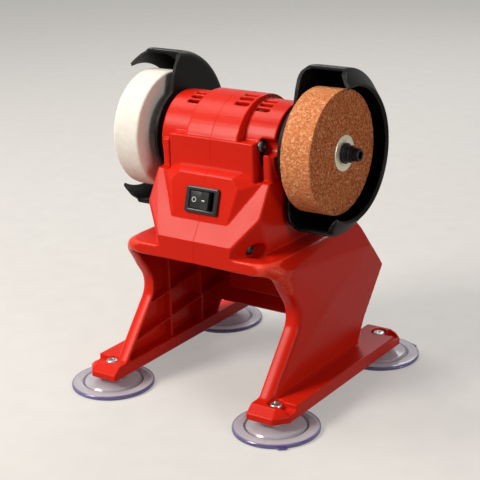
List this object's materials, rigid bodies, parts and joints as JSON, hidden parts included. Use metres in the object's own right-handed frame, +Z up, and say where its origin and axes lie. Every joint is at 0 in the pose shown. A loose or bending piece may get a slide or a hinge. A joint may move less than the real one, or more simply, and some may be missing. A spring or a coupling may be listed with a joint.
{
  "type": "cordless bench grinder",
  "caption": "Cordless bench grinder: moulded clamshell stand on suction cups carries a motor whose spindle turns a grinding wheel and a felt wheel inside bent guards, with a rocker switch.",
  "frame": {"origin": "middle of the footprint on the table, under the spindle", "axes": "+X along the spindle towards the grinding wheel and its drive socket, -Y towards the switch and the user, +Z up"},
  "size_m": [0.1774, 0.1782, 0.2049],
  "materials": {
    "red_plastic": "moulded, satin",
    "black_plastic": "fine moulded grain",
    "dark_plastic": "satin",
    "zinc_steel": "bright zinc",
    "turned_steel": "turned",
    "ground_steel": "ground",
    "black_oxide": "black oxide",
    "felt": "pressed felt",
    "abrasive": "bonded grain",
    "clear_vinyl": "clear soft vinyl",
    "magnet": "ferrite",
    "carbon": "carbon",
    "laminated_steel": "laminated",
    "copper": "enamelled copper",
    "cell_sleeve": "shrink sleeve"
  },
  "bodies": {
    "body": {"left_shell": "red_plastic", "right_shell": "red_plastic", "shell_screws": "zinc_steel", "switch_housing": "black_plastic", "switch_terminals": "zinc_steel", "motor_can": "zinc_steel", "motor_end_bell": "dark_plastic", "motor_magnets": "magnet", "motor_brushes": "carbon", "left_bearing_outer": "ground_steel", "right_bearing_outer": "ground_steel", "left_bearing_balls": "ground_steel", "right_bearing_balls": "ground_steel", "left_guard": "black_plastic", "right_guard": "black_plastic", "guard_screws": "zinc_steel", "cup_front_left": "clear_vinyl", "cup_front_right": "clear_vinyl", "cup_rear_left": "clear_vinyl", "cup_rear_right": "clear_vinyl", "foot_screws": "zinc_steel", "battery_terminals": "dark_plastic"},
    "spindle": {"spindle_shaft": "turned_steel", "armature_core": "laminated_steel", "armature_coils": "copper", "commutator": "copper", "cooling_fan": "dark_plastic", "left_bearing_inner": "ground_steel", "right_bearing_inner": "ground_steel", "left_arbor_sleeve": "turned_steel", "right_arbor_sleeve": "turned_steel", "felt_wheel": "felt", "grinding_wheel": "abrasive", "left_washer": "zinc_steel", "right_washer": "zinc_steel", "left_nut": "black_oxide", "right_nut": "black_oxide"},
    "rocker": {"switch_rocker": "black_plastic"},
    "battery": {"battery_shell": "dark_plastic", "battery_base": "dark_plastic", "battery_cells": "cell_sleeve"},
    "latch": {"battery_latch": "black_plastic"}
  },
  "joints": [
    {"name": "spindle_spin", "type": "hinge", "parent": "body", "child": "spindle", "pos_m": [0, 0, 0.155], "axis": [1, 0, 0], "continuous": true},
    {"name": "rocker_tilt", "type": "hinge", "parent": "body", "child": "rocker", "pos_m": [0.0008, -0.04269, 0.12667], "axis": [0, 0.2794, 0.9602], "range_deg": [0, 22]},
    {"name": "battery_slide", "type": "slide", "parent": "body", "child": "battery", "axis": [0, 1, 0], "range_m": [0, 0.04]},
    {"name": "latch_press", "type": "slide", "parent": "battery", "child": "latch", "axis": [0, -0.8521, -0.5234], "range_m": [0, 0.002], "stiffness_N_per_m": 800}
  ]
}
